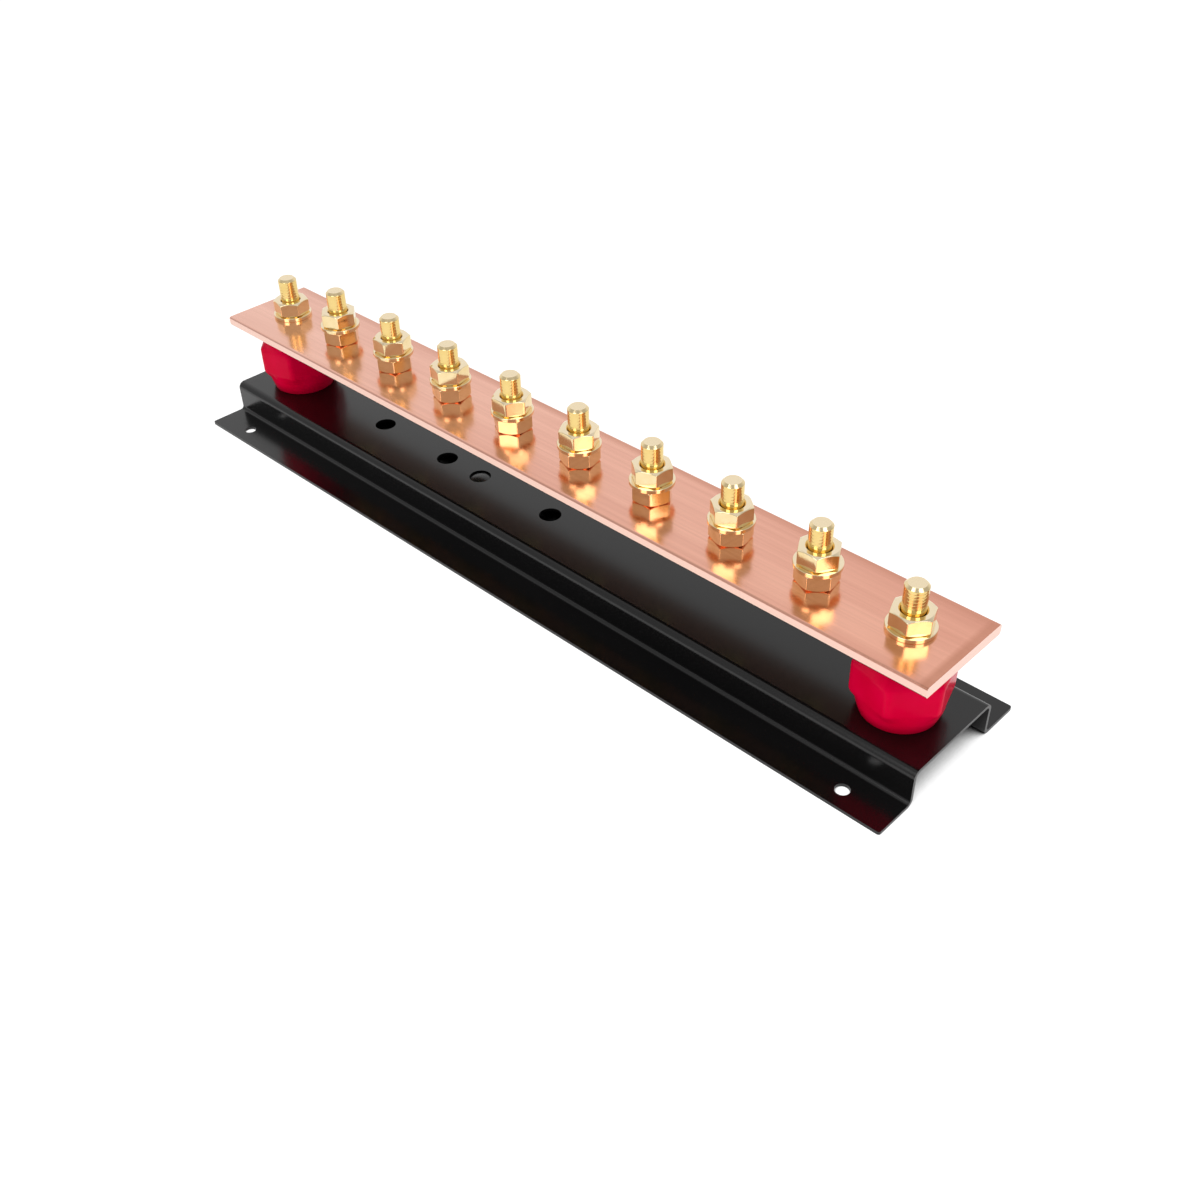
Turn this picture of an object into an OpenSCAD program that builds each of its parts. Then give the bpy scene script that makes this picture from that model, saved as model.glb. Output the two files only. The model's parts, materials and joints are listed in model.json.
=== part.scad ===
// Rack grounding busbar. A flat copper bar stands on two insulators over a folded
// steel channel, and ten M8 brass terminals stand up from the bar.
// X runs along the bar, Y runs across it and Z is up. Z = 0 is the underside of the
// mounting flanges, and X = 0, Y = 0 is the middle of the bar.

/* [Copper bar] */
// Distance from an end terminal to the end of the bar
bar_end = 19; // [15:0.5:52.5]
// Width of the bar
bar_w = 40; // [34:1:60]
// Thickness of the bar
bar_t = 4; // [3:0.5:8]
// Rounding of the bar's four long edges
bar_edge = 1; // [0.2:0.1:1.4]
// Clearance all round a thread in its hole through the bar
bar_hole_gap = 0.6; // [0.3:0.05:1.1]

/* [Terminals] */
// Distance from one terminal to the next
pitch = 35; // [28:0.5:45]
// Height of the eight bolt tips above the bar
bolt_rise = 22; // [18:0.5:40]
// Height of the two end studs above the bar
stud_rise = 17; // [12:0.5:30]

/* [M8 hardware] */
// Diameter over the thread of a shank's free end
thread_d = 7.8; // [7.76:0.02:8]
// How much slimmer a shank is where nuts or an insert hold it
thread_relief = 0.6; // [0.4:0.02:0.7]
// Gap between the top nut and the full-size free end above it
free_gap = 0.3; // [0.2:0.1:1]
// Radial gap between a held shank and the hole that it screws into
thread_gap = 0.1; // [0.05:0.05:0.2]
// Size across the flats of every nut and bolt head
hex_af = 13; // [12.8:0.1:13.2]
// Thickness of a nut
nut_h = 6; // [5:0.1:6.8]
// Thickness of a bolt head
head_h = 5.3; // [5:0.1:5.6]
// Outside diameter of a flat washer
washer_d = 16; // [15:0.5:17]
// Thickness of a flat washer
washer_t = 1.5; // [1:0.1:2]
// Chamfer at the tip of a shank
tip_chamfer = 1.2; // [0.5:0.1:1.5]

/* [Insulators] */
// Height of an insulator
insulator_h = 28; // [26:0.5:50]
// Diameter of its round ends
end_d = 26; // [24:0.5:27]
// Diameter of the neck where it meets the hexagon
neck_d = 28.6; // [27.5:0.1:29]
// Size across the flats of the hexagonal belt
belt_af = 29.5; // [29:0.1:32]
// Height of the hexagonal belt
belt_h = 10; // [6:0.5:12]
// Height of the neck above each end
neck_h = 5; // [3:0.5:6]
// Rounding of the belt's six corners
belt_corner = 2.5; // [1:0.1:4]

/* [Threaded inserts] */
// Outside diameter of a brass insert
insert_d = 12; // [11:0.5:14]
// Length of a brass insert
insert_l = 11; // [10.5:0.5:12]
// Depth of the anchoring groove around an insert
groove_depth = 1; // [0.5:0.1:1.2]
// Width of the anchoring groove
groove_w = 3; // [2:0.5:4]

/* [Channel bracket] */
// Distance that the bracket reaches past each end of the bar
bracket_end = 1.5; // [-1.5:0.5:43.5]
// Overall width across the two flanges
bracket_w = 75; // [70:1:110]
// Overall height
bracket_h = 14; // [13.5:0.5:40]
// Width over the outside of the two webs
channel_w = 43; // [36:1:50]
// Thickness of the steel sheet
sheet_t = 1.2; // [1:0.1:2]
// Outside radius of the bend along the top
top_bend_r = 2.8; // [2.2:0.1:4]
// Inside radius of the bend at the foot of the web
foot_bend_r = 1.5; // [1:0.1:3]
// Rounding of the flange corners
flange_corner = 1; // [0.5:0.5:5]

/* [Holes in the bracket] */
// Mounting hole in each flange corner
flange_hole_d = 5; // [4.2:0.1:6.5]
// Distance from the bracket's end to its mounting holes
flange_hole_end = 18.5; // [8:0.5:60]
// Distance from a flange's outer edge to its mounting holes
flange_hole_edge = 7; // [5:0.5:9]
// Clearance all round a thread in the platform's punched holes
platform_hole_gap = 0.4; // [0.3:0.05:0.6]

/* [Insulator fixing] */
// Space left in the bottom insert beyond the tip of its screw
screw_tip_gap = 1.2; // [0.2:0.1:3.2]
// Space left in the top insert beyond the tip of its end stud
stud_tip_gap = 1; // [0.5:0.5:5]
// Outside diameter of the split spring washer
spring_d = 14.8; // [13.5:0.1:15.5]
// Thickness of the split spring washer
spring_t = 2; // [1.6:0.1:2.4]
// Width of its slit
spring_slit = 0.8; // [0.5:0.1:1.5]

/* [Hole plug] */
// Diameter of the flange under the sheet
plug_flange_d = 12; // [10.5:0.5:15]
// Thickness of that flange
plug_flange_t = 1; // [0.8:0.1:2]
// Gap all round between the plug and its hole
plug_gap = 0.1; // [0.05:0.05:0.2]
// Rise of the plug's domed face
plug_dome = 0.8; // [0.4:0.1:0.9]

/* [Hidden] */
$fn = 64;
eps = 0.01;

// How far a cutting shape reaches past the faces that it cuts
cut = 1;

TERMINALS = 8;
SIDES = ["left", "right"];

// Places of the terminals and insulators along X
function terminal_x(i) = (i - (TERMINALS + 1) / 2) * pitch;
end_x = terminal_x(TERMINALS + 1);
function side_x(side) = side == "left" ? -end_x : end_x;

// Lengths that follow from the terminals
bar_l = 2 * (end_x + bar_end);
bracket_l = bar_l + 2 * bracket_end;
flange_hole_x = bracket_l / 2 - flange_hole_end;
flange_hole_y = bracket_w / 2 - flange_hole_edge;

// Heights of the faces that stack on each other
bar_z = bracket_h + insulator_h;
bar_top = bar_z + bar_t;
sheet_under = bracket_h - sheet_t;
screw_seat_z = sheet_under - spring_t;

// Height above the bar of the nuts and washers on an end stud and on a bolt
end_stack = washer_t + nut_h;
bolt_stack = end_stack + nut_h;

// How far each nut happens to be turned about its bolt, in degrees, left to right
lower_turn = [18, 20, 44, 30, 42, 7, 42, 40];
upper_turn = [20, 56, 44, 58, 58, 24, 23, 0];
function end_nut_turn(side) = side == "left" ? 48 : 51;
function insulator_turn(side) = side == "left" ? 10.5 : 46;

// Hexagon hardware: its corners, the circle where its chamfer starts, and the chamfer
hex_corner_r = hex_af / 2 / cos(30);
hex_face_r = 0.48 * hex_af;
hex_chamfer = (hex_corner_r - hex_face_r) * tan(30);

// Threads and the holes that they screw into or pass through
held_d = thread_d - thread_relief;
thread_hole_r = held_d / 2 + thread_gap;
bar_hole_d = thread_d + 2 * bar_hole_gap;
platform_hole_d = thread_d + 2 * platform_hole_gap;
countersink = 0.6;

// Depths inside the inserts
insert_end_t = 1;
insert_bore_l = insert_l - insert_end_t;
stud_engaged = insert_bore_l - stud_tip_gap;
screw_l = insert_bore_l - screw_tip_gap + sheet_t + spring_t;

// Bore gap and edge chamfer of a washer, tilt of the spring washer's slit, and how
// far the slices of an insulator's slope lap the solids that they join
washer_gap = 0.3;
washer_edge = 0.2;
slit_tilt = 20;
slope_lap = 0.06;

// The platform's punched holes: the two over the insulators' screws, the open ones,
// and the one that holds the plug
open_hole_x = [-100, -60, 0];
plug_x = -40;

copper = "#E6B49C";
brass = "#D9B25A";
crimson = "#C8102E";
black_coat = "#1B1B1D";
zinc = "#B9BCC0";

// ---- outlines ----

// Rectangle centred on the origin with true round corners
module rounded_rectangle(w, h, r) {
    square([w - 2 * r, h], center = true);
    square([w, h - 2 * r], center = true);
    for (sx = [-1, 1], sy = [-1, 1])
        translate([sx * (w / 2 - r), sy * (h / 2 - r)])
            circle(r = r);
}

// Regular hexagon across flats af with true round corners
module rounded_hexagon(af, r) {
    corner = (af / 2 - r) / cos(30);
    for (a = [0:60:300])
        rotate(a)
            translate([corner, 0])
                circle(r = r);
    for (a = [30:60:330])
        rotate(a)
            translate([0, -corner / 2])
                square([af / 2, corner]);
}

// A quarter of a ring between angles 0 and 90 degrees
module quarter_ring(outer_r, inner_r) {
    intersection() {
        difference() {
            circle(r = outer_r);
            circle(r = inner_r);
        }
        square(outer_r);
    }
}

// ---- hexagon hardware ----

// Solid of turned chamfers that trims a hexagon's corners; the lower face is
// chamfered only if both is true
module chamfer_envelope(h, both) {
    rotate_extrude()
        polygon([
            [0, 0],
            [both ? hex_face_r : hex_corner_r + eps, 0],
            [hex_corner_r + eps, both ? hex_chamfer : 0],
            [hex_corner_r + eps, h - hex_chamfer],
            [hex_face_r, h],
            [0, h]
        ]);
}

module hexagon_block(h, both) {
    intersection() {
        cylinder(r = hex_corner_r, h = h, $fn = 6);
        chamfer_envelope(h, both);
    }
}

// Countersunk clearance hole for a thread, through height h
module threaded_hole(h) {
    rotate_extrude()
        polygon([
            [0, -eps],
            [thread_hole_r + countersink + eps, -eps],
            [thread_hole_r, countersink],
            [thread_hole_r, h - countersink],
            [thread_hole_r + countersink + eps, h + eps],
            [0, h + eps]
        ]);
}

module nut() {
    difference() {
        hexagon_block(nut_h, true);
        threaded_hole(nut_h);
    }
}

// Round rod from z = 0 up to z = l, with a chamfer at its upper end, and at its
// lower end if both_tips is true
module rod(d, l, both_tips) {
    r = d / 2;
    tip_r = r - tip_chamfer;
    rotate_extrude()
        polygon([
            [0, 0],
            [both_tips ? tip_r : r, 0],
            [r, both_tips ? tip_chamfer : 0],
            [r, l - tip_chamfer],
            [tip_r, l],
            [0, l]
        ]);
}

// Shank from z = 0 up to z = l: slim up to z = held, and full size above
module shank(l, held, both_tips) {
    rod(held_d, held + tip_chamfer, both_tips);
    translate([0, 0, held])
        rod(thread_d, l - held, false);
}

// Bolt head that hangs below z = 0, where its bearing face is
module bolt_head() {
    mirror([0, 0, 1])
        hexagon_block(head_h, false);
}

module flat_washer() {
    outer = washer_d / 2;
    inner = thread_d / 2 + washer_gap;
    rotate_extrude()
        polygon([
            [inner, 0],
            [outer, 0],
            [outer, washer_t - washer_edge],
            [outer - washer_edge, washer_t],
            [inner, washer_t]
        ]);
}

// ---- sub-parts ----

// One half of the bracket's cross-section, for x >= 0; y is height
module bracket_half_section() {
    web_out = channel_w / 2;
    foot_x = web_out + foot_bend_r;
    foot_z = sheet_t + foot_bend_r;
    top_x = web_out - top_bend_r;
    top_z = bracket_h - top_bend_r;
    translate([0, bracket_h - sheet_t])
        square([top_x, sheet_t]);
    translate([top_x, top_z])
        quarter_ring(top_bend_r, top_bend_r - sheet_t);
    translate([web_out - sheet_t, foot_z])
        square([sheet_t, top_z - foot_z]);
    translate([foot_x, foot_z])
        rotate(180)
            quarter_ring(foot_bend_r + sheet_t, foot_bend_r);
    translate([foot_x, 0])
        square([bracket_w / 2 - foot_x, sheet_t]);
}

module through_hole(x, y, d, top) {
    translate([x, y, -cut])
        cylinder(d = d, h = top + 2 * cut);
}

// Steel sheet folded four times into a top-hat channel and then painted
module bracket() {
    color(black_coat)
        difference() {
            intersection() {
                rotate([90, 0, 90])
                    translate([0, 0, -bracket_l / 2])
                        linear_extrude(bracket_l) {
                            bracket_half_section();
                            mirror([1, 0])
                                bracket_half_section();
                        }
                linear_extrude(bracket_h)
                    rounded_rectangle(bracket_l, bracket_w, flange_corner);
            }
            for (x = concat(open_hole_x, [plug_x, -end_x, end_x]))
                through_hole(x, 0, platform_hole_d, bracket_h);
            for (sx = [-1, 1], sy = [-1, 1])
                through_hole(sx * flange_hole_x, sy * flange_hole_y, flange_hole_d, sheet_t);
        }
}

// Plastic plug pushed up into a spare platform hole; its domed face ends level
// with the sheet
module hole_plug() {
    boss_r = platform_hole_d / 2 - plug_gap;
    dome_r = (pow(boss_r, 2) + pow(plug_dome, 2)) / (2 * plug_dome);
    color(black_coat)
        translate([plug_x, 0, 0]) {
            intersection() {
                translate([0, 0, sheet_under - eps])
                    cylinder(r = boss_r, h = sheet_t + eps);
                translate([0, 0, bracket_h - dome_r])
                    sphere(r = dome_r, $fn = 128);
            }
            translate([0, 0, sheet_under - plug_flange_t])
                cylinder(d = plug_flange_d, h = plug_flange_t);
        }
}

// Flat copper bar with rolled edges and a hole for each terminal
module busbar() {
    color(copper)
        translate([0, 0, bar_z])
            difference() {
                translate([-bar_l / 2, 0, bar_t / 2])
                    rotate([90, 0, 90])
                        linear_extrude(bar_l)
                            rounded_rectangle(bar_w, bar_t, bar_edge);
                for (i = [0:TERMINALS + 1])
                    through_hole(terminal_x(i), 0, bar_hole_d, bar_t);
            }
}

// Outside of a brass insert, with the groove that anchors it in the moulding;
// its open face is at z = 0 and it reaches down to z = -insert_l
module insert_body() {
    r = insert_d / 2;
    groove_top = -(insert_l - groove_w) / 2;
    rotate_extrude()
        polygon([
            [0, 0],
            [r, 0],
            [r, groove_top],
            [r - groove_depth, groove_top],
            [r - groove_depth, groove_top - groove_w],
            [r, groove_top - groove_w],
            [r, -insert_l],
            [0, -insert_l]
        ]);
}

module insert() {
    difference() {
        insert_body();
        translate([0, 0, -insert_bore_l])
            cylinder(r = thread_hole_r, h = insert_bore_l + cut);
    }
}

// Half of an insulator above its mid-height: half the hexagonal belt, the slope
// from the hexagon to the round neck, and the tapered neck. The slope's two end
// slices are sunk a hair into the solids that they join and are a hair smaller.
module insulator_half() {
    slope_z = insulator_h / 2 - neck_h;
    linear_extrude(belt_h / 2)
        rounded_hexagon(belt_af, belt_corner);
    hull() {
        translate([0, 0, belt_h / 2 - slope_lap])
            linear_extrude(slope_lap)
                rounded_hexagon(belt_af - slope_lap, belt_corner, $fn = 32);
        translate([0, 0, slope_z])
            cylinder(d = neck_d - slope_lap, h = slope_lap, $fn = 96);
    }
    translate([0, 0, slope_z])
        cylinder(d1 = neck_d, d2 = end_d, h = neck_h);
}

// Moulded insulator around two blind threaded inserts
module insulator(side) {
    color(crimson)
        translate([side_x(side), 0, bracket_h + insulator_h / 2])
            rotate(insulator_turn(side))
                difference() {
                    union() {
                        insulator_half();
                        mirror([0, 0, 1])
                            insulator_half();
                    }
                    translate([0, 0, insulator_h / 2])
                        insert_body();
                    mirror([0, 0, 1])
                        translate([0, 0, insulator_h / 2])
                            insert_body();
                }
}

module top_insert(side) {
    color(brass)
        translate([side_x(side), 0, bar_z])
            insert();
}

module bottom_insert(side) {
    color(brass)
        translate([side_x(side), 0, bracket_h])
            mirror([0, 0, 1])
                insert();
}

// Screw from under the platform up into the insulator
module insulator_screw(side) {
    color(zinc)
        translate([side_x(side), 0, screw_seat_z]) {
            bolt_head();
            rod(held_d, screw_l, false);
        }
}

// Split ring, pressed flat by the screw
module spring_washer(side) {
    color(zinc)
        translate([side_x(side), 0, screw_seat_z])
            difference() {
                cylinder(d = spring_d, h = spring_t);
                through_hole(0, 0, thread_d + 2 * washer_gap, spring_t);
                translate([0, 0, spring_t / 2])
                    rotate([slit_tilt, 0, 0])
                        translate([0, -spring_slit / 2, -spring_t])
                            cube([spring_d, spring_slit, 2 * spring_t]);
            }
}

// Headless stud that clamps the bar to an insulator
module end_stud(side) {
    color(brass)
        translate([side_x(side), 0, bar_z - stud_engaged])
            shank(
                stud_engaged + bar_t + stud_rise,
                stud_engaged + bar_t + end_stack + free_gap,
                true
            );
}

module end_washer(side) {
    color(brass)
        translate([side_x(side), 0, bar_top])
            flat_washer();
}

module end_nut(side) {
    color(brass)
        translate([side_x(side), 0, bar_top + washer_t])
            rotate(end_nut_turn(side))
                nut();
}

// Bolt from under the bar
module bolt(i) {
    color(brass)
        translate([terminal_x(i), 0, bar_z]) {
            bolt_head();
            shank(bar_t + bolt_rise, bar_t + bolt_stack + free_gap, false);
        }
}

// Nut that clamps the bolt to the bar
module lower_nut(i) {
    color(brass)
        translate([terminal_x(i), 0, bar_top])
            rotate(lower_turn[i - 1])
                nut();
}

// Washer between the two nuts, where a cable lug goes
module washer(i) {
    color(brass)
        translate([terminal_x(i), 0, bar_top + nut_h])
            flat_washer();
}

module upper_nut(i) {
    color(brass)
        translate([terminal_x(i), 0, bar_top + nut_h + washer_t])
            rotate(upper_turn[i - 1])
                nut();
}

// ---- nodes ----

bracket();
hole_plug();
busbar();
for (s = SIDES) {
    insulator(s);
    top_insert(s);
    bottom_insert(s);
    insulator_screw(s);
    spring_washer(s);
    end_stud(s);
    end_washer(s);
    end_nut(s);
}
for (i = [1:TERMINALS]) {
    bolt(i);
    lower_nut(i);
    washer(i);
    upper_nut(i);
}
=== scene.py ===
"""Looks for the rack grounding busbar: visible meshes, finishes, light and camera."""

import json
import math

import bmesh
import bpy
from mathutils import Euler, Matrix, Vector


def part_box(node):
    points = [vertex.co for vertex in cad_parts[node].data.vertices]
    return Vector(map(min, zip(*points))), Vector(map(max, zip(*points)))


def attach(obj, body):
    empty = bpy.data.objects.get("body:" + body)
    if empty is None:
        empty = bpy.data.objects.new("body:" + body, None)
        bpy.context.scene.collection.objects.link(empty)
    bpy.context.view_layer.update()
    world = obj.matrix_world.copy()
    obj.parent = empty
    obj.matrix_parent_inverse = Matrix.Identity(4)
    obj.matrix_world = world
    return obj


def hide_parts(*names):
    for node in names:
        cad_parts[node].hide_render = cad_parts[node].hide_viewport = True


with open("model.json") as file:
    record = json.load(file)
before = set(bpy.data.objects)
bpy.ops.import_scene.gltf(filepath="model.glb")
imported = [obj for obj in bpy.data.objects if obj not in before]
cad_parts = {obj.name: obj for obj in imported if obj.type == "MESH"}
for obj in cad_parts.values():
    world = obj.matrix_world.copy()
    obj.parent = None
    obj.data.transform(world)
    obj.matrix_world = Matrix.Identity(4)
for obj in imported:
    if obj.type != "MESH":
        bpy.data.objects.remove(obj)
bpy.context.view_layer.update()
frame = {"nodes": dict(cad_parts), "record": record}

MM = 0.001
TERMINALS = 8
SIDES = ("left", "right")

# Standard M8 hardware, in metres
THREAD_R = 3.85 * MM
THREAD_PITCH = 1.25 * MM
GROOVE_DEPTH = 0.025 * MM
GROOVE_SHARE = 0.3
TIP_CHAMFER = 0.9 * MM
FREE_END = 10.0 * MM
HEX_APOTHEM = 6.5 * MM
HEX_CORNER_FILLET = 0.25 * MM
HEX_FACE_R = 0.96 * HEX_APOTHEM
HEX_CHAMFER_SLOPE = math.tan(math.radians(30))
NUT_BORE_R = 4.0 * MM
NUT_COUNTERSINK = 0.6 * MM
WASHER_BORE_R = 4.2 * MM
WASHER_R = 8.0 * MM
HEAD_H = 5.3 * MM
NUT_EDGE = 0.1 * MM
WASHER_EDGE = 0.15 * MM

# Points along each flat and round each corner of a hexagon, and round a circle
NUT_STEPS = (12, 3)
HEAD_STEPS = (9, 3)
BELT_STEPS = (16, 8)
WASHER_STEPS = 96
SHANK_STEPS = 72
STEPS_PER_THREAD = 12
SHARP_ANGLE = math.radians(28)
SIXTH = math.radians(60)

# How far each nut is turned about its bolt, in degrees, left to right
LOWER_TURN = (18, 20, 44, 30, 42, 7, 42, 40)
UPPER_TURN = (20, 56, 44, 58, 58, 24, 23, 0)
END_TURN = {"left": 48, "right": 51}
INSULATOR_TURN = {"left": 10.5, "right": 46}

# Moulded insulator
BELT_APOTHEM = 14.75 * MM
BELT_CORNER = 2.5 * MM
BELT_H = 10.0 * MM
NECK_H = 5.0 * MM
NECK_R = 14.3 * MM
END_R = 13.0 * MM
MOULD_SOFT = 0.8 * MM
SOCKET_R = 6.0 * MM
SOCKET_DEPTH = 2.0 * MM


# ---------------------------------------------------------------- mesh helpers


def hexagon_radius(angle, apothem, fillet):
    """Distance from the centre to a hexagon with round corners, its first corner at angle 0."""
    off_corner = abs((angle + SIXTH / 2) % SIXTH - SIXTH / 2)
    off_face = SIXTH / 2 - off_corner
    tangent = math.atan((apothem - fillet) * math.tan(SIXTH / 2) / apothem)
    if off_face <= tangent:
        return apothem / math.cos(off_face)
    centre = (apothem - fillet) / math.cos(SIXTH / 2)
    return centre * math.cos(off_corner) + math.sqrt(fillet**2 - (centre * math.sin(off_corner)) ** 2)


def hexagon_angles(apothem, fillet, flat_steps, corner_steps):
    """Angles around a hexagon that put points at the ends of each flat and along each corner."""
    tangent = math.atan((apothem - fillet) * math.tan(SIXTH / 2) / apothem)
    half_corner = SIXTH / 2 - tangent
    angles = []
    for k in range(6):
        corner = k * SIXTH
        for i in range(corner_steps):
            angles.append(corner - half_corner + 2 * half_corner * i / corner_steps)
        for i in range(flat_steps):
            angles.append(corner + half_corner + (SIXTH - 2 * half_corner) * i / flat_steps)
    return angles


def round_angles(steps):
    """Angles evenly spread around a circle."""
    return [2 * math.pi * i / steps for i in range(steps)]


def ring_mesh(name, rows, angles, closed):
    """Mesh from rings of points. Each row maps an angle to (radius, height). A closed mesh joins its
    last ring to its first; an open one is capped at both ends."""
    bm = bmesh.new()
    rings = []
    for row in rows:
        ring = []
        for angle in angles:
            r, z = row(angle)
            ring.append(bm.verts.new((r * math.cos(angle), r * math.sin(angle), z)))
        rings.append(ring)
    pairs = list(zip(rings, rings[1:]))
    if closed:
        pairs.append((rings[-1], rings[0]))
    count = len(angles)
    for low, high in pairs:
        for i in range(count):
            j = (i + 1) % count
            bm.faces.new((low[i], low[j], high[j], high[i]))
    if not closed:
        for ring in (rings[0], rings[-1]):
            mid = sum((v.co for v in ring), Vector()) / count
            hub = bm.verts.new(mid)
            for i in range(count):
                bm.faces.new((ring[i], ring[(i + 1) % count], hub))
    bmesh.ops.recalc_face_normals(bm, faces=bm.faces)
    mesh = bpy.data.meshes.new(name)
    bm.to_mesh(mesh)
    bm.free()
    return mesh


def flat_row(r, z):
    """Row for ring_mesh: a circle of this radius at this height."""
    return lambda angle: (r, z)


def place(name, mesh, node, slot, at, turn=0.0, edge=0.0, finish=None):
    """Puts a piece where its CAD node is, smooths it, rounds its hard edges and gives it its finish."""
    piece = bpy.data.objects.new(name, mesh)
    bpy.context.scene.collection.objects.link(piece)
    piece.location = at
    mesh.transform(Matrix.Rotation(math.radians(turn), 4, "Z"))
    for polygon in mesh.polygons:
        polygon.use_smooth = True
    mesh.set_sharp_from_angle(angle=SHARP_ANGLE)
    if edge:
        bevel = piece.modifiers.new("edge", "BEVEL")
        bevel.width = edge
        bevel.segments = 2
        bevel.limit_method = "ANGLE"
        bevel.angle_limit = SHARP_ANGLE
        bevel.harden_normals = False
    piece.data.materials.clear()
    piece.data.materials.append(MATERIALS[finish or slot])
    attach(piece, "root")
    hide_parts(node)
    return piece


# ---------------------------------------------------------------- hardware


def chamfered(angle, z_face, inward):
    """Where the turned chamfer meets the hexagon's wall at this angle."""
    r = hexagon_radius(angle, HEX_APOTHEM, HEX_CORNER_FILLET)
    return r, z_face + inward * (r - HEX_FACE_R) * HEX_CHAMFER_SLOPE


def nut_mesh(name, h):
    """Hexagon nut from z = 0 to z = h, countersunk and chamfered on both faces."""
    rows = [
        flat_row(NUT_BORE_R, NUT_COUNTERSINK),
        flat_row(NUT_BORE_R, h - NUT_COUNTERSINK),
        flat_row(NUT_BORE_R + NUT_COUNTERSINK, h),
        flat_row(HEX_FACE_R, h),
        lambda angle: chamfered(angle, h, -1),
        lambda angle: chamfered(angle, 0, 1),
        flat_row(HEX_FACE_R, 0),
        flat_row(NUT_BORE_R + NUT_COUNTERSINK, 0),
    ]
    angles = hexagon_angles(HEX_APOTHEM, HEX_CORNER_FILLET, *NUT_STEPS)
    return ring_mesh(name, rows, angles, closed=True)


def washer_mesh(name, t):
    """Flat washer from z = 0 to z = t."""
    rows = [
        flat_row(WASHER_BORE_R, 0),
        flat_row(WASHER_BORE_R, t),
        flat_row(WASHER_R, t),
        flat_row(WASHER_R, 0),
    ]
    return ring_mesh(name, rows, round_angles(WASHER_STEPS), closed=True)


def thread_rows(z0, z1):
    """Rings of a right-hand thread: plain crests with a fine groove between them, and a chamfered tip."""

    def row(z):
        def at(angle):
            off_groove = abs((z / THREAD_PITCH - angle / (2 * math.pi)) % 1.0 - 0.5) * 2
            depth = max(0.0, 1 - off_groove / GROOVE_SHARE)
            r = THREAD_R - GROOVE_DEPTH * depth
            return min(r, THREAD_R - TIP_CHAMFER + z1 - z), z

        return at

    steps = round((z1 - z0) / THREAD_PITCH * STEPS_PER_THREAD)
    return [row(z0 + (z1 - z0) * i / steps) for i in range(steps + 1)]


def shank_mesh(name, length):
    """Round shank from z = 0 up to a threaded free end and a chamfered tip."""
    plain = [flat_row(THREAD_R - TIP_CHAMFER, 0), flat_row(THREAD_R, TIP_CHAMFER)]
    rows = plain + thread_rows(length - FREE_END, length)
    return ring_mesh(name, rows, round_angles(SHANK_STEPS), closed=False)


def bolt_mesh(name, length):
    """Hexagon bolt in one skin: underside of the head at z = 0, tip at z = length."""
    head = [
        flat_row(HEX_FACE_R, -HEAD_H),
        lambda angle: chamfered(angle, -HEAD_H, 1),
        lambda angle: (hexagon_radius(angle, HEX_APOTHEM, HEX_CORNER_FILLET), 0),
        flat_row(THREAD_R, 0),
    ]
    angles = hexagon_angles(HEX_APOTHEM, HEX_CORNER_FILLET, *HEAD_STEPS)
    return ring_mesh(name, head + thread_rows(length - FREE_END, length), angles, closed=False)


# ---------------------------------------------------------------- insulator


def insulator_mesh(name, h):
    """Round ends, tapered necks and a hexagonal belt, with soft moulded edges."""
    half = h / 2

    def section(blend, neck_r, z):
        """blend is 1 on the belt and 0 on the round neck."""

        def at(angle):
            belt = hexagon_radius(angle, BELT_APOTHEM, BELT_CORNER)
            return blend * belt + (1 - blend) * neck_r, z

        return at

    soft = MOULD_SOFT
    upper = [
        section(1, NECK_R, BELT_H / 2 - soft),
        section(0.985, NECK_R, BELT_H / 2),
        section(0.88, NECK_R, BELT_H / 2 + soft),
        section(0.1, NECK_R, half - NECK_H - soft),
        section(0.01, NECK_R, half - NECK_H),
        section(0, NECK_R - 0.12 * MM, half - NECK_H + soft),
        section(0, END_R + 0.1 * MM, half - 0.4 * MM),
        section(0, END_R - 0.05 * MM, half - 0.15 * MM),
        section(0, END_R - 0.3 * MM, half),
        section(0, SOCKET_R, half),
        section(0, SOCKET_R, half - SOCKET_DEPTH),
    ]

    def mirrored(row):
        return lambda angle: (row(angle)[0], -row(angle)[1])

    rows = [mirrored(row) for row in reversed(upper)] + upper
    angles = hexagon_angles(BELT_APOTHEM, BELT_CORNER, *BELT_STEPS)
    return ring_mesh(name, rows, angles, closed=True)


# ---------------------------------------------------------------- finishes

NONE = (0, 0, 0)
FULL = (1, 1, 1)
BRASS = ((0.85, 0.64, 0.31), (0.95, 0.77, 0.45))
BRASS_THREAD = ((0.82, 0.58, 0.2), (0.9, 0.68, 0.28))
# Painted highlight: the paler colour given to brass faces that look up
BRASS_PAINTED_TOP_HIGHLIGHT = (0.96, 0.82, 0.6)
CRIMSON = ((0.64, 0.0, 0.028), (0.74, 0.0, 0.045))
CRIMSON_SHEEN = (1.0, 0.3, 0.45, 1)
CRIMSON_IOR = 1.12
BLACK_COAT = ((0.001, 0.001, 0.0011), (0.003, 0.0027, 0.0028))
BLACK_NYLON = ((0.004, 0.004, 0.004), (0.01, 0.01, 0.01))
ZINC = ((0.55, 0.56, 0.6), (0.7, 0.7, 0.68))
COPPER_LEFT = (1.0, 0.6, 0.48)
COPPER_RIGHT = (0.94, 0.49, 0.36)
# Painted reflection: the paler colour given to the bar's upright faces
COPPER_SIDE_PAINTED_REFLECTION = (0.92, 0.62, 0.52)
# Painted shade: the dark colour given to faces of the bar that look down
COPPER_PAINTED_UNDERSIDE_SHADE = (0.3, 0.15, 0.1)
COPPER_TARNISH = (0.5, 0.2, 0.12)
COPPER_STREAK = (0.9, 0.86, 0.86)
COPPER_GRAIN = (0.88, 0.86, 0.85)
COPPER_WORN = (0.93, 0.88, 0.87)

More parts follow.
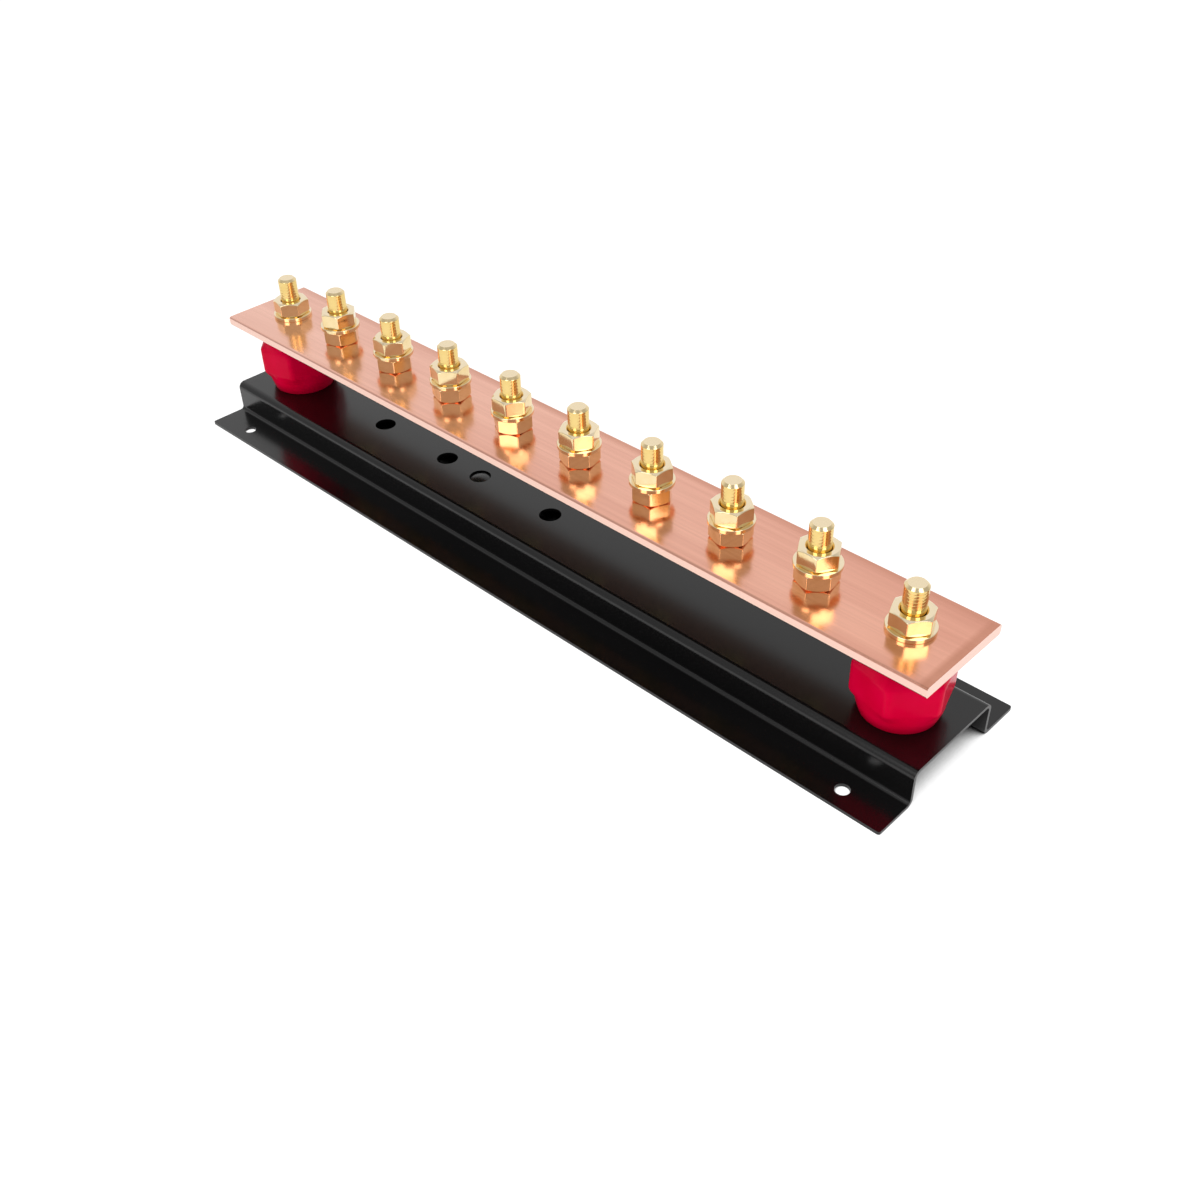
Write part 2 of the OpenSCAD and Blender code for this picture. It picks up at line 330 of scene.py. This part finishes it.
# Where the bar's tarnish starts and is full, in from its rear edge and its right end, and
# how far either side of the middle its colour changes
REAR_TARNISH = (4.5 * MM, 1.5 * MM)
RIGHT_TARNISH = (4.0 * MM, 2.0 * MM)
COLOUR_CHANGE = 170 * MM

# Sockets of a Mix node that mixes colours
MIX_A = 6
MIX_B = 7
MIX_RESULT = 2


class Finish:
    """A node material under construction, with short helpers for the nodes it needs."""

    def __init__(self, name):
        self.material = bpy.data.materials.new(name)
        self.material.use_nodes = True
        self.tree = self.material.node_tree
        self.shader = self.tree.nodes["Principled BSDF"]
        self.coords = self.node("ShaderNodeTexCoord")

    def node(self, kind, **settings):
        made = self.tree.nodes.new(kind)
        for key, value in settings.items():
            setattr(made, key, value)
        return made

    def link(self, source, target):
        self.tree.links.new(source, target)

    def noise(self, scale, stretch=(1, 1, 1), detail=4.0, rough=0.5):
        """Noise in object space, in cycles a metre, stretched by dividing each axis."""
        mapping = self.node("ShaderNodeMapping")
        mapping.inputs["Scale"].default_value = [1 / s for s in stretch]
        self.link(self.coords.outputs["Object"], mapping.inputs["Vector"])
        noise = self.node("ShaderNodeTexNoise")
        noise.inputs["Scale"].default_value = scale
        noise.inputs["Detail"].default_value = detail
        noise.inputs["Roughness"].default_value = rough
        self.link(mapping.outputs["Vector"], noise.inputs["Vector"])
        return noise.outputs["Fac"]

    def ramp(self, value, stops):
        """Colour ramp; each stop is a position and a colour."""
        ramp = self.node("ShaderNodeValToRGB")
        elements = ramp.color_ramp.elements
        while len(elements) < len(stops):
            elements.new(0.5)
        for element, (position, colour) in zip(elements, stops):
            element.position = position
            element.color = (*colour, 1)
        self.link(value, ramp.inputs["Fac"])
        return ramp.outputs["Color"]

    def tones(self, value, pair):
        """Colour that drifts between a pair of tones."""
        return self.ramp(value, [(0.3, pair[0]), (0.7, pair[1])])

    def spread(self, value, low, high):
        """Number that runs from low to high with the value."""
        spread = self.node("ShaderNodeMapRange")
        spread.inputs["To Min"].default_value = low
        spread.inputs["To Max"].default_value = high
        self.link(value, spread.inputs["Value"])
        return spread.outputs["Result"]

    def axes(self):
        """The piece's own x, y and z, in metres."""
        split = self.node("ShaderNodeSeparateXYZ")
        self.link(self.coords.outputs["Object"], split.inputs["Vector"])
        return split.outputs["X"], split.outputs["Y"], split.outputs["Z"]

    def facing_up(self):
        """1 where the surface faces straight up, 0 where it is upright."""
        split = self.node("ShaderNodeSeparateXYZ")
        self.link(self.coords.outputs["Normal"], split.inputs["Vector"])
        return split.outputs["Z"]

    def shade(self, value, low, high, first, last):
        """Colour that runs from first to last as value runs from low to high."""
        span = self.node("ShaderNodeMapRange")
        span.inputs["From Min"].default_value = low
        span.inputs["From Max"].default_value = high
        self.link(value, span.inputs["Value"])
        return self.ramp(span.outputs["Result"], [(0.0, first), (1.0, last)])

    def blend(self, kind, amount, first, second):
        """Two colours blended; the second is laid over the first."""
        mix = self.node("ShaderNodeMix", data_type="RGBA", blend_type=kind)
        mix.inputs["Factor"].default_value = amount
        self.link(first, mix.inputs[MIX_A])
        self.link(second, mix.inputs[MIX_B])
        return mix.outputs[MIX_RESULT]

    def mix_by(self, mask, first, colour):
        """A colour laid over the first where the mask is white."""
        mix = self.node("ShaderNodeMix", data_type="RGBA")
        self.link(mask, mix.inputs["Factor"])
        self.link(first, mix.inputs[MIX_A])
        mix.inputs[MIX_B].default_value = (*colour, 1)
        return mix.outputs[MIX_RESULT]

    def bump(self, value, strength, distance):
        bump = self.node("ShaderNodeBump")
        bump.inputs["Strength"].default_value = strength
        bump.inputs["Distance"].default_value = distance
        self.link(value, bump.inputs["Height"])
        self.link(bump.outputs["Normal"], self.shader.inputs["Normal"])


def copper_finish():
    """Bare rolled bar: fine lengthwise grain, a pinker left end, and a browner rear edge and right end.
    Upright faces are painted paler, a painted reflection, and the underside is painted darker, a painted
    shade.
    """
    f = Finish("copper")
    f.shader.inputs["Metallic"].default_value = 1.0
    grain = f.noise(700, (70, 1, 1), detail=8, rough=0.7)
    streak = f.noise(120, (30, 1, 1), detail=4, rough=0.55)
    cloud = f.noise(22, (3, 1, 1), detail=3)
    along, across, _ = f.axes()
    ends = f.shade(along, -COLOUR_CHANGE, COLOUR_CHANGE, COPPER_LEFT, COPPER_RIGHT)
    dark_streak = f.ramp(streak, [(0.35, COPPER_STREAK), (0.6, FULL)])
    dark_grain = f.ramp(grain, [(0.35, COPPER_GRAIN), (0.6, FULL)])
    worn = f.ramp(cloud, [(0.32, COPPER_WORN), (0.62, FULL)])
    soft = f.blend("MULTIPLY", 1.0, f.blend("MULTIPLY", 1.0, ends, worn), dark_streak)
    fine = f.blend("MULTIPLY", 0.6, soft, dark_grain)
    right_end, rear_edge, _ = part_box("busbar")[1]
    rear_start, rear_full = [rear_edge - inward for inward in REAR_TARNISH]
    right_start, right_full = [right_end - inward for inward in RIGHT_TARNISH]
    rear = f.shade(across, rear_start, rear_full, NONE, (0.5, 0.5, 0.5))
    right = f.shade(along, right_start, right_full, NONE, (0.9, 0.9, 0.9))
    edges = f.blend("SCREEN", 1.0, rear, right)
    patches = f.ramp(cloud, [(0.3, (0.4, 0.4, 0.4)), (0.6, FULL)])
    patchy = f.blend("MULTIPLY", 1.0, edges, patches)
    top = f.mix_by(patchy, fine, COPPER_TARNISH)
    # Painted reflection: upright faces are painted paler, as if they mirrored the bright floor
    side = f.shade(f.facing_up(), 0.5, 0.1, NONE, FULL)
    with_side_reflection = f.mix_by(side, top, COPPER_SIDE_PAINTED_REFLECTION)
    # Painted shade: faces that look down are darkened
    painted_underside_mask = f.shade(f.facing_up(), -0.4, -0.8, NONE, FULL)
    f.link(f.mix_by(painted_underside_mask, with_side_reflection, COPPER_PAINTED_UNDERSIDE_SHADE), f.shader.inputs["Base Color"])
    f.link(f.spread(grain, 0.1, 0.26), f.shader.inputs["Roughness"])
    f.bump(grain, 0.14, 0.00003)
    return f.material


def brass_finish(name, tones, low, high):
    """Turned brass between two tones, with roughness from low to high. Faces that look up are painted
    paler, a painted highlight.
    """
    f = Finish(name)
    f.shader.inputs["Metallic"].default_value = 1.0
    turned = f.noise(1500, (1, 1, 0.15), detail=2)
    cloud = f.noise(160, detail=3)
    # Painted highlight: faces that look up are mixed towards a paler colour
    upward = f.shade(f.facing_up(), 0.4, 0.9, NONE, (0.8, 0.8, 0.8))
    metal = f.tones(cloud, tones)
    f.link(f.mix_by(upward, metal, BRASS_PAINTED_TOP_HIGHLIGHT), f.shader.inputs["Base Color"])
    f.link(f.spread(turned, low, high), f.shader.inputs["Roughness"])
    f.bump(turned, 0.06, 0.00002)
    return f.material


def crimson_finish():
    """Moulded insulator. Its index of refraction is low, to keep the white surroundings off it."""
    f = Finish("crimson")
    f.shader.inputs["IOR"].default_value = CRIMSON_IOR
    f.shader.inputs["Specular Tint"].default_value = CRIMSON_SHEEN
    cloud = f.noise(60, detail=3)
    moulded = f.tones(cloud, CRIMSON)
    f.link(moulded, f.shader.inputs["Base Color"])
    f.link(f.spread(f.noise(400, detail=3), 0.1, 0.2), f.shader.inputs["Roughness"])
    f.bump(f.noise(500, detail=2), 0.05, 0.00006)
    return f.material


def black_coat_finish():
    """Glossy paint with a slight orange peel."""
    f = Finish("black_coat")
    peel = f.noise(1600, detail=3)
    cloud = f.noise(40, (4, 1, 1), detail=3)
    paint = f.tones(cloud, BLACK_COAT)
    f.link(paint, f.shader.inputs["Base Color"])
    f.link(f.spread(peel, 0.16, 0.26), f.shader.inputs["Roughness"])
    f.bump(peel, 0.08, 0.00003)
    return f.material


def black_plastic_finish():
    """Nylon of the plug."""
    f = Finish("black_plastic")
    grain = f.noise(2200, detail=3)
    nylon = f.tones(grain, BLACK_NYLON)
    f.link(nylon, f.shader.inputs["Base Color"])
    f.link(f.spread(grain, 0.2, 0.34), f.shader.inputs["Roughness"])
    f.bump(grain, 0.1, 0.00003)
    return f.material


def zinc_finish():
    """Plated steel of the hidden screws and spring washers."""
    f = Finish("zinc")
    f.shader.inputs["Metallic"].default_value = 1.0
    cloud = f.noise(300, detail=4)
    plating = f.tones(cloud, ZINC)
    f.link(plating, f.shader.inputs["Base Color"])
    f.link(f.spread(cloud, 0.25, 0.4), f.shader.inputs["Roughness"])
    return f.material


MATERIALS = {
    "copper": copper_finish(),
    "brass": brass_finish("brass", BRASS, 0.05, 0.13),
    "brass_thread": brass_finish("brass_thread", BRASS_THREAD, 0.1, 0.2),
    "crimson": crimson_finish(),
    "black_coat": black_coat_finish(),
    "black_plastic": black_plastic_finish(),
    "zinc": zinc_finish(),
}
SLOT_OF = {part["node"]: part["material_slot"] for part in frame["record"]["subparts"]}


# ---------------------------------------------------------------- the pieces


def base_of(node):
    """Middle of a node's underside."""
    lo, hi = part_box(node)
    return Vector(((lo[0] + hi[0]) / 2, (lo[1] + hi[1]) / 2, lo[2]))


def height_of(node):
    lo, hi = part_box(node)
    return hi[2] - lo[2]


def add_nut(node, turn):
    mesh = nut_mesh(node + "_mesh", height_of(node))
    place("look_" + node, mesh, node, "brass", base_of(node), turn, edge=NUT_EDGE)


def add_washer(node):
    mesh = washer_mesh(node + "_mesh", height_of(node))
    place("look_" + node, mesh, node, "brass", base_of(node), edge=WASHER_EDGE)


def add_bolt(node, slot, finish):
    head = Vector((0, 0, HEAD_H))
    mesh = bolt_mesh(node + "_mesh", height_of(node) - HEAD_H)
    place("look_" + node, mesh, node, slot, base_of(node) + head, finish=finish)


for index in range(TERMINALS):
    number = str(index + 1)
    add_bolt("bolt_" + number, "brass", "brass_thread")
    add_nut("lower_nut_" + number, LOWER_TURN[index])
    add_washer("washer_" + number)
    add_nut("upper_nut_" + number, UPPER_TURN[index])

for side in SIDES:
    stud = "end_stud_" + side
    mesh = shank_mesh(stud + "_mesh", height_of(stud))
    place("look_" + stud, mesh, stud, "brass", base_of(stud), finish="brass_thread")
    add_washer("end_washer_" + side)
    add_nut("end_nut_" + side, END_TURN[side])
    add_bolt("insulator_screw_" + side, "zinc", "zinc")
    insulator = "insulator_" + side
    mesh = insulator_mesh(insulator + "_mesh", height_of(insulator))
    at = base_of(insulator) + Vector((0, 0, height_of(insulator) / 2))
    place("look_" + insulator, mesh, insulator, "crimson", at, INSULATOR_TURN[side])

for node, piece in frame["nodes"].items():
    piece.data.materials.clear()
    piece.data.materials.append(MATERIALS[SLOT_OF[node]])


# ---------------------------------------------------------------- stage and light

FLOOR_SIZE = 8.0
FLOOR_LIFT = 0.78
FLOOR_DROP = 0.02 * MM
FLOOR_COLOUR = (0.9, 0.9, 0.9, 1)
# Floor colour that the camera sees, from deep painted shade to open floor
FLOOR_SHADE = (0.02, 0.42)

# How far the floor feels for what stands over it, and how open it is where its painted shadow starts to
# darken it and where it is white
PAINTED_SHADOW_REACH = 35 * MM
PAINTED_SHADOW_RANGE = (0.2, 0.5)

# Direction of the bright wall that metal mirrors, and where it and the ceiling fade in
BRIGHT_WALL = (-0.7, 0.72, 0.0)
WALL_FADE = (0.1, 0.6)
CEILING_FADE = (0.75, 0.95)
BRIGHT = 0.9
DIM = 0.54
CEILING = 0.76
FILL = 0.48
WHITE = (1.0, 1.0, 1.0, 1.0)
MIDDLE = Vector((0, 0, 40 * MM))


def background_fraction(tree, mirrored):
    """1 for rays that see the white background: the camera's, those through glass, and where mirrored
    is true those off a glossy surface too."""
    path = tree.nodes.new("ShaderNodeLightPath")
    seen = tree.nodes.new("ShaderNodeMath")
    seen.operation = "MAXIMUM"
    tree.links.new(path.outputs["Is Camera Ray"], seen.inputs[0])
    if mirrored:
        tree.links.new(path.outputs["Is Glossy Ray"], seen.inputs[1])
    either = tree.nodes.new("ShaderNodeMath")
    either.operation = "MAXIMUM"
    tree.links.new(seen.outputs["Value"], either.inputs[0])
    tree.links.new(path.outputs["Is Transmission Ray"], either.inputs[1])
    return either.outputs["Value"]


def map_range(tree, value, low, high, first, last):
    """Value from first to last as the input runs from low to high."""
    span = tree.nodes.new("ShaderNodeMapRange")
    tree.links.new(value, span.inputs["Value"])
    span.inputs["From Min"].default_value = low
    span.inputs["From Max"].default_value = high
    span.inputs["To Min"].default_value = first
    span.inputs["To Max"].default_value = last
    return span.outputs["Result"]


def floor_finish():
    """White where it is open. A painted shadow from ambient occlusion darkens it near the busbar and in a
    deep hollow such as the inside of the channel.
    """
    material = bpy.data.materials.new("floor")
    material.use_nodes = True
    tree = material.node_tree
    tree.nodes.clear()
    painted_shadow_occlusion = tree.nodes.new("ShaderNodeAmbientOcclusion")
    painted_shadow_occlusion.inputs["Distance"].default_value = PAINTED_SHADOW_REACH
    plain = tree.nodes.new("ShaderNodeBsdfDiffuse")
    plain.inputs["Color"].default_value = FLOOR_COLOUR
    faint = tree.nodes.new("ShaderNodeBsdfDiffuse")
    # Painted shadow: the colour and the glow that the camera sees drop where the floor is hemmed in
    shade = map_range(tree, painted_shadow_occlusion.outputs["AO"], *PAINTED_SHADOW_RANGE, *FLOOR_SHADE)
    tree.links.new(shade, faint.inputs["Color"])
    lift = tree.nodes.new("ShaderNodeEmission")
    strength = map_range(tree, painted_shadow_occlusion.outputs["AO"], *PAINTED_SHADOW_RANGE, 0.0, FLOOR_LIFT)
    tree.links.new(strength, lift.inputs["Strength"])
    seen = tree.nodes.new("ShaderNodeAddShader")
    tree.links.new(faint.outputs["BSDF"], seen.inputs[0])
    tree.links.new(lift.outputs["Emission"], seen.inputs[1])
    mix = tree.nodes.new("ShaderNodeMixShader")
    tree.links.new(background_fraction(tree, False), mix.inputs["Fac"])
    tree.links.new(plain.outputs["BSDF"], mix.inputs[1])
    tree.links.new(seen.outputs["Shader"], mix.inputs[2])
    out = tree.nodes.new("ShaderNodeOutputMaterial")
    tree.links.new(mix.outputs["Shader"], out.inputs["Surface"])
    return material


def add_floor():
    bm = bmesh.new()
    bmesh.ops.create_grid(bm, x_segments=1, y_segments=1, size=FLOOR_SIZE / 2)
    mesh = bpy.data.meshes.new("floor")
    bm.to_mesh(mesh)
    bm.free()
    floor = bpy.data.objects.new("floor", mesh)
    bpy.context.scene.collection.objects.link(floor)
    floor.location.z = -FLOOR_DROP
    mesh.materials.append(floor_finish())


def add_world():
    """White to the camera. Reflections see a bright wall behind and above the busbar, dim elsewhere."""
    world = bpy.data.worlds.new("studio")
    bpy.context.scene.world = world
    world.use_nodes = True
    tree = world.node_tree
    tree.nodes.clear()
    coords = tree.nodes.new("ShaderNodeTexCoord")
    facing = tree.nodes.new("ShaderNodeVectorMath")
    facing.operation = "DOT_PRODUCT"
    tree.links.new(coords.outputs["Generated"], facing.inputs[0])
    facing.inputs[1].default_value = BRIGHT_WALL
    wall = map_range(tree, facing.outputs["Value"], *WALL_FADE, DIM, BRIGHT)
    upward = tree.nodes.new("ShaderNodeSeparateXYZ")
    tree.links.new(coords.outputs["Generated"], upward.inputs["Vector"])
    ceiling = map_range(tree, upward.outputs["Z"], *CEILING_FADE, 0.0, CEILING)
    mirrored = tree.nodes.new("ShaderNodeMath")
    mirrored.operation = "MAXIMUM"
    tree.links.new(wall, mirrored.inputs[0])
    tree.links.new(ceiling, mirrored.inputs[1])
    path = tree.nodes.new("ShaderNodeLightPath")
    strength = tree.nodes.new("ShaderNodeMix")
    tree.links.new(path.outputs["Is Camera Ray"], strength.inputs["Factor"])
    tree.links.new(mirrored.outputs["Value"], strength.inputs["A"])
    strength.inputs["B"].default_value = 1.0
    seen = tree.nodes.new("ShaderNodeBackground")
    seen.inputs["Color"].default_value = WHITE
    tree.links.new(strength.outputs["Result"], seen.inputs["Strength"])
    fill = tree.nodes.new("ShaderNodeBackground")
    fill.inputs["Color"].default_value = WHITE
    fill.inputs["Strength"].default_value = FILL
    mix = tree.nodes.new("ShaderNodeMixShader")
    tree.links.new(background_fraction(tree, True), mix.inputs["Fac"])
    tree.links.new(fill.outputs["Background"], mix.inputs[1])
    tree.links.new(seen.outputs["Background"], mix.inputs[2])
    out = tree.nodes.new("ShaderNodeOutputWorld")
    tree.links.new(mix.outputs["Shader"], out.inputs["Surface"])


def add_softbox(name, at, size, power, mirrored):
    """Soft light aimed at the bar. Metal mirrors it only if mirrored is true."""
    light = bpy.data.lights.new(name, "AREA")
    light.shape = "RECTANGLE"
    light.size, light.size_y = size
    light.energy = power
    lamp = bpy.data.objects.new(name, light)
    bpy.context.scene.collection.objects.link(lamp)
    lamp.location = at
    lamp.visible_glossy = mirrored
    lamp.rotation_euler = (MIDDLE - Vector(at)).to_track_quat("-Z", "Y").to_euler()


def around(azimuth, elevation, distance):
    """Point at this azimuth and elevation, in degrees, and this distance from the bar."""
    a, e = math.radians(azimuth), math.radians(elevation)
    level = math.cos(e)
    return MIDDLE + distance * Vector((math.cos(a) * level, math.sin(a) * level, math.sin(e)))


add_floor()
add_world()
add_softbox("overhead", around(-60, 68, 1.4), size=(1.2, 1.0), power=9, mirrored=False)
for front, azimuth in (("front_left", -86), ("front_right", -10)):
    add_softbox(front, around(azimuth, 38, 1.3), size=(0.55, 0.7), power=3.2, mirrored=True)


# ---------------------------------------------------------------- camera

# Fitted to the photograph: place, degrees below level, about Z and about its own line of
# sight, and lens in millimetres
CAMERA_AT = Vector((309.1, -281.0, 300.6)) * MM
CAMERA_DOWN = 38.22
CAMERA_TURN = 45.26
CAMERA_ROLL = -1.724
LENS = 39.79
SENSOR = 36.0
CLIP_START = 10 * MM


def add_camera():
    """The photograph's camera."""
    data = bpy.data.cameras.new("camera")
    data.sensor_width = SENSOR
    data.lens = LENS
    data.clip_start = CLIP_START
    camera = bpy.data.objects.new("camera", data)
    bpy.context.scene.collection.objects.link(camera)
    camera.location = CAMERA_AT
    look = Euler((math.radians(90 - CAMERA_DOWN), 0, math.radians(CAMERA_TURN)), "XYZ").to_matrix()
    roll = Euler((0, 0, math.radians(CAMERA_ROLL)), "XYZ").to_matrix()
    camera.rotation_euler = (look @ roll).to_euler()
    bpy.context.scene.camera = camera


add_camera()
bpy.context.scene.view_settings.view_transform = "Standard"
